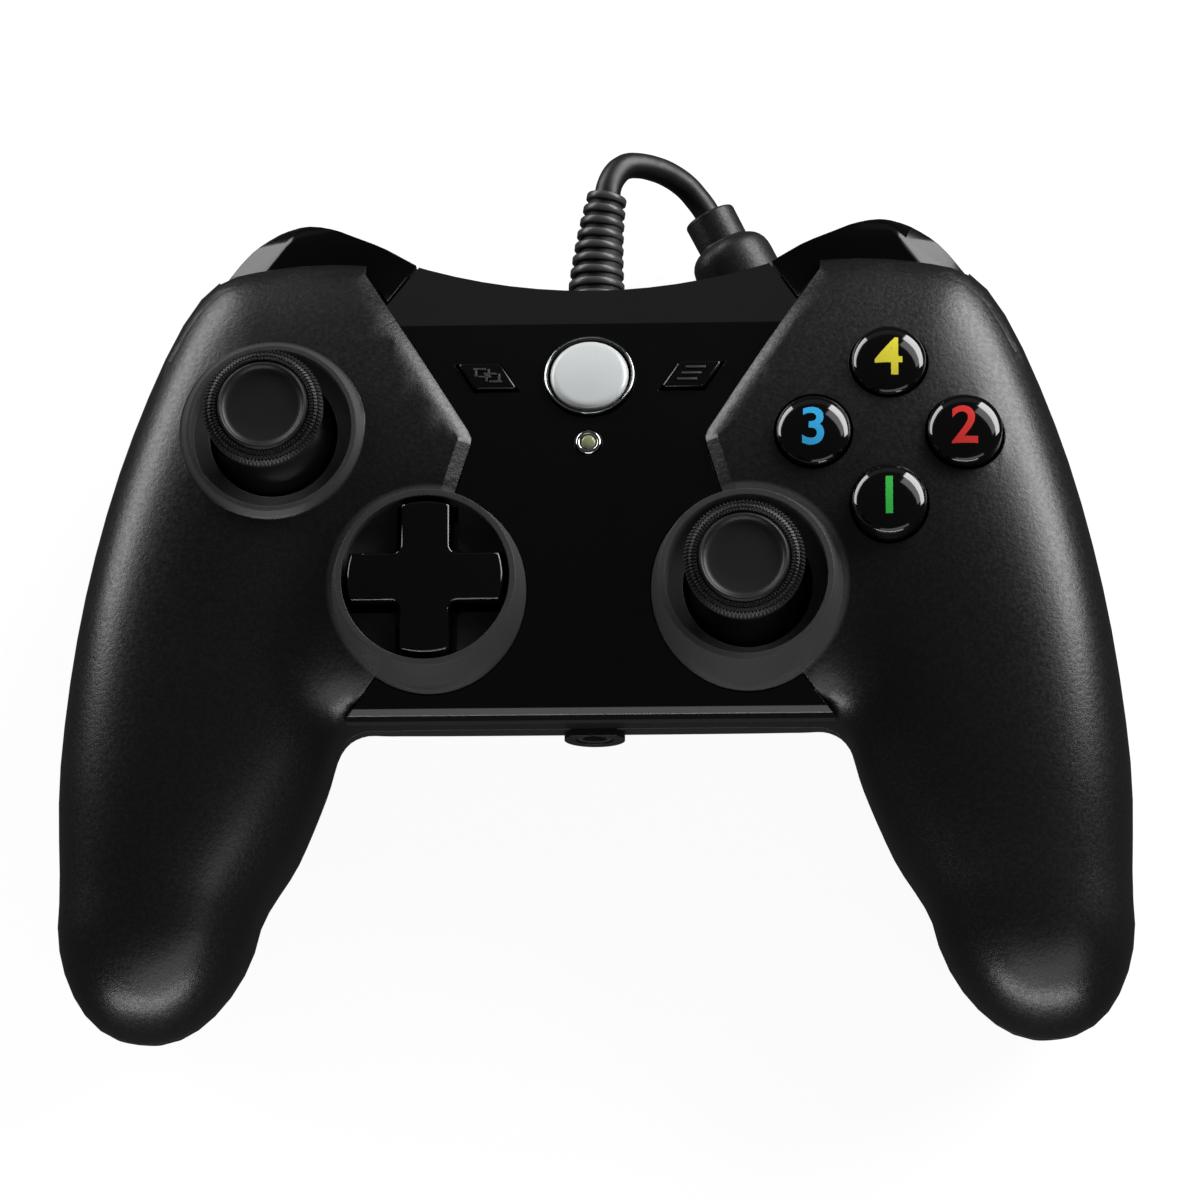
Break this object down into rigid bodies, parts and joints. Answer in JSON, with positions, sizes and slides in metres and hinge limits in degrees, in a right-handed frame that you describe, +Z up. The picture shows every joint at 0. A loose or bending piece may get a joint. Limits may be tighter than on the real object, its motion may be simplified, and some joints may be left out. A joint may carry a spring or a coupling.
{
  "type": "gamepad controller",
  "caption": "Gamepad with two grips, thumb sticks, direction pad, face buttons, bumpers, triggers, headset socket and a short pigtail lead.",
  "frame": {"origin": "on the table, under the middle of the body without its lead", "axes": "+X to the player's right, +Y away from the player towards the lead, +Z up out of the control face"},
  "size_m": [0.1536, 0.1312, 0.0495],
  "materials": {
    "matte_black": "fine-grained matte",
    "rear_black": "smooth matte",
    "gloss_black": "polished",
    "soft_black": "matte, knurled at the rim",
    "pearl": "pearl",
    "lens": "clear",
    "bright_metal": "bright",
    "steel": "plain",
    "board_green": "solder mask",
    "inner_plastic": "moulded",
    "switch_black": "moulded",
    "sensor_blue": "moulded",
    "membrane_grey": "silicone",
    "boot_black": "satin",
    "contact_gold": "plated"
  },
  "bodies": {
    "body": {"front_casing": "matte_black", "centre_panel": "gloss_black", "rear_casing": "rear_black", "main_board": "board_green", "left_stick_housing": "switch_black", "left_stick_sensors": "sensor_blue", "right_stick_housing": "switch_black", "right_stick_sensors": "sensor_blue", "stick_click_switches": "switch_black", "dpad_post": "inner_plastic", "dpad_membrane": "membrane_grey", "face_button_membrane": "membrane_grey", "guide_ring": "gloss_black", "centre_switches": "switch_black", "status_lens": "lens", "status_ring": "bright_metal", "bumper_pins": "steel", "bumper_switches": "switch_black", "left_trigger_pin": "steel", "left_trigger_spring": "steel", "right_trigger_pin": "steel", "right_trigger_spring": "steel", "trigger_sensors": "board_green", "left_motor": "steel", "right_motor": "steel", "headset_jack": "switch_black", "case_screws": "steel", "board_screws": "steel", "cable_boot": "boot_black", "pigtail_cord": "boot_black", "breakaway_connector": "boot_black", "connector_contacts": "contact_gold"},
    "left_stick": {"left_stick_cap": "soft_black", "left_stick_shaft": "steel"},
    "left_hub": {"left_stick_hub": "inner_plastic"},
    "left_rocker": {"left_lower_rocker": "inner_plastic"},
    "left_cross_rocker": {"left_upper_rocker": "inner_plastic"},
    "right_stick": {"right_stick_cap": "soft_black", "right_stick_shaft": "steel"},
    "right_hub": {"right_stick_hub": "inner_plastic"},
    "right_rocker": {"right_lower_rocker": "inner_plastic"},
    "right_cross_rocker": {"right_upper_rocker": "inner_plastic"},
    "dpad_pivot": {"dpad_ball": "steel"},
    "dpad": {"dpad_cross": "gloss_black"},
    "top_button": {"button_top": "gloss_black"},
    "left_button": {"button_left": "gloss_black"},
    "right_button": {"button_right": "gloss_black"},
    "bottom_button": {"button_bottom": "gloss_black"},
    "guide": {"guide_button": "pearl"},
    "view": {"view_button": "gloss_black"},
    "menu": {"menu_button": "gloss_black"},
    "bumper_left": {"left_bumper": "gloss_black"},
    "bumper_right": {"right_bumper": "gloss_black"},
    "trigger_left": {"left_trigger": "rear_black"},
    "trigger_right": {"right_trigger": "rear_black"},
    "weight_left": {"left_weight": "steel", "left_motor_shaft": "steel"},
    "weight_right": {"right_weight": "steel", "right_motor_shaft": "steel"}
  },
  "joints": [
    {"name": "left_stick_fore_aft", "type": "hinge", "parent": "body", "child": "left_rocker", "pos_m": [-0.045, 0.024, 0.0245], "axis": [1, 0, 0], "range_deg": [-14, 14], "stiffness_Nm_per_rad": 0.02},
    {"name": "left_stick_side", "type": "hinge", "parent": "left_rocker", "child": "left_hub", "pos_m": [-0.045, 0.024, 0.0245], "axis": [0, 1, 0], "range_deg": [-14, 14], "stiffness_Nm_per_rad": 0.02},
    {"name": "left_stick_click", "type": "slide", "parent": "left_hub", "child": "left_stick", "axis": [0, 0, -1], "range_m": [0, 0.0004], "stiffness_N_per_m": 300},
    {"name": "left_cross_rocker_turn", "type": "hinge", "parent": "body", "child": "left_cross_rocker", "pos_m": [-0.045, 0.024, 0.0245], "axis": [0, 1, 0], "range_deg": [-14, 14]},
    {"name": "right_stick_fore_aft", "type": "hinge", "parent": "body", "child": "right_rocker", "pos_m": [0.0226, 0.0013, 0.0245], "axis": [1, 0, 0], "range_deg": [-14, 14], "stiffness_Nm_per_rad": 0.02},
    {"name": "right_stick_side", "type": "hinge", "parent": "right_rocker", "child": "right_hub", "pos_m": [0.0226, 0.0013, 0.0245], "axis": [0, 1, 0], "range_deg": [-14, 14], "stiffness_Nm_per_rad": 0.02},
    {"name": "right_stick_click", "type": "slide", "parent": "right_hub", "child": "right_stick", "axis": [0, 0, -1], "range_m": [0, 0.0004], "stiffness_N_per_m": 300},
    {"name": "right_cross_rocker_turn", "type": "hinge", "parent": "body", "child": "right_cross_rocker", "pos_m": [0.0226, 0.0013, 0.0245], "axis": [0, 1, 0], "range_deg": [-14, 14]},
    {"name": "dpad_fore_aft", "type": "hinge", "parent": "body", "child": "dpad_pivot", "pos_m": [-0.0226, 0.0013, 0.03], "axis": [1, 0, 0], "range_deg": [-4, 4], "stiffness_Nm_per_rad": 0.05},
    {"name": "dpad_side", "type": "hinge", "parent": "dpad_pivot", "child": "dpad", "pos_m": [-0.0226, 0.0013, 0.03], "axis": [0, 1, 0], "range_deg": [-4, 4], "stiffness_Nm_per_rad": 0.05},
    {"name": "top_button_press", "type": "slide", "parent": "body", "child": "top_button", "axis": [0, -0.1392, -0.9903], "range_m": [0, 0.0012], "stiffness_N_per_m": 120},
    {"name": "left_button_press", "type": "slide", "parent": "body", "child": "left_button", "axis": [0, -0.1392, -0.9903], "range_m": [0, 0.0012], "stiffness_N_per_m": 120},
    {"name": "right_button_press", "type": "slide", "parent": "body", "child": "right_button", "axis": [0, -0.1392, -0.9903], "range_m": [0, 0.0012], "stiffness_N_per_m": 120},
    {"name": "bottom_button_press", "type": "slide", "parent": "body", "child": "bottom_button", "axis": [0, -0.1392, -0.9903], "range_m": [0, 0.0012], "stiffness_N_per_m": 120},
    {"name": "guide_press", "type": "slide", "parent": "body", "child": "guide", "axis": [0, -0.262, -0.9651], "range_m": [0, 0.0006], "stiffness_N_per_m": 120},
    {"name": "view_press", "type": "slide", "parent": "body", "child": "view", "axis": [0, -0.262, -0.9651], "range_m": [0, 0.0006], "stiffness_N_per_m": 120},
    {"name": "menu_press", "type": "slide", "parent": "body", "child": "menu", "axis": [0, -0.262, -0.9651], "range_m": [0, 0.0006], "stiffness_N_per_m": 120},
    {"name": "left_bumper_press", "type": "hinge", "parent": "body", "child": "bumper_left", "pos_m": [-0.0345, 0.048, 0.019], "axis": [0, 0, 1], "range_deg": [0, 3], "stiffness_Nm_per_rad": 0.5},
    {"name": "right_bumper_press", "type": "hinge", "parent": "body", "child": "bumper_right", "pos_m": [0.0345, 0.048, 0.019], "axis": [0, 0, -1], "range_deg": [0, 3], "stiffness_Nm_per_rad": 0.5},
    {"name": "left_trigger_pull", "type": "hinge", "parent": "body", "child": "trigger_left", "pos_m": [-0.0434, 0.047, 0.0154], "axis": [-1, 0, 0], "range_deg": [0, 15], "stiffness_Nm_per_rad": 0.1},
    {"name": "right_trigger_pull", "type": "hinge", "parent": "body", "child": "trigger_right", "pos_m": [0.0434, 0.047, 0.0154], "axis": [-1, 0, 0], "range_deg": [0, 15], "stiffness_Nm_per_rad": 0.1},
    {"name": "left_weight_spin", "type": "hinge", "parent": "body", "child": "weight_left", "pos_m": [-0.06, -0.037, 0.015], "axis": [0, 1, 0], "continuous": true},
    {"name": "right_weight_spin", "type": "hinge", "parent": "body", "child": "weight_right", "pos_m": [0.06, -0.037, 0.015], "axis": [0, 1, 0], "continuous": true}
  ],
  "couplings": [
    {"joint": "left_cross_rocker_turn", "follows": "left_stick_side", "ratio": 1},
    {"joint": "right_cross_rocker_turn", "follows": "right_stick_side", "ratio": 1}
  ]
}
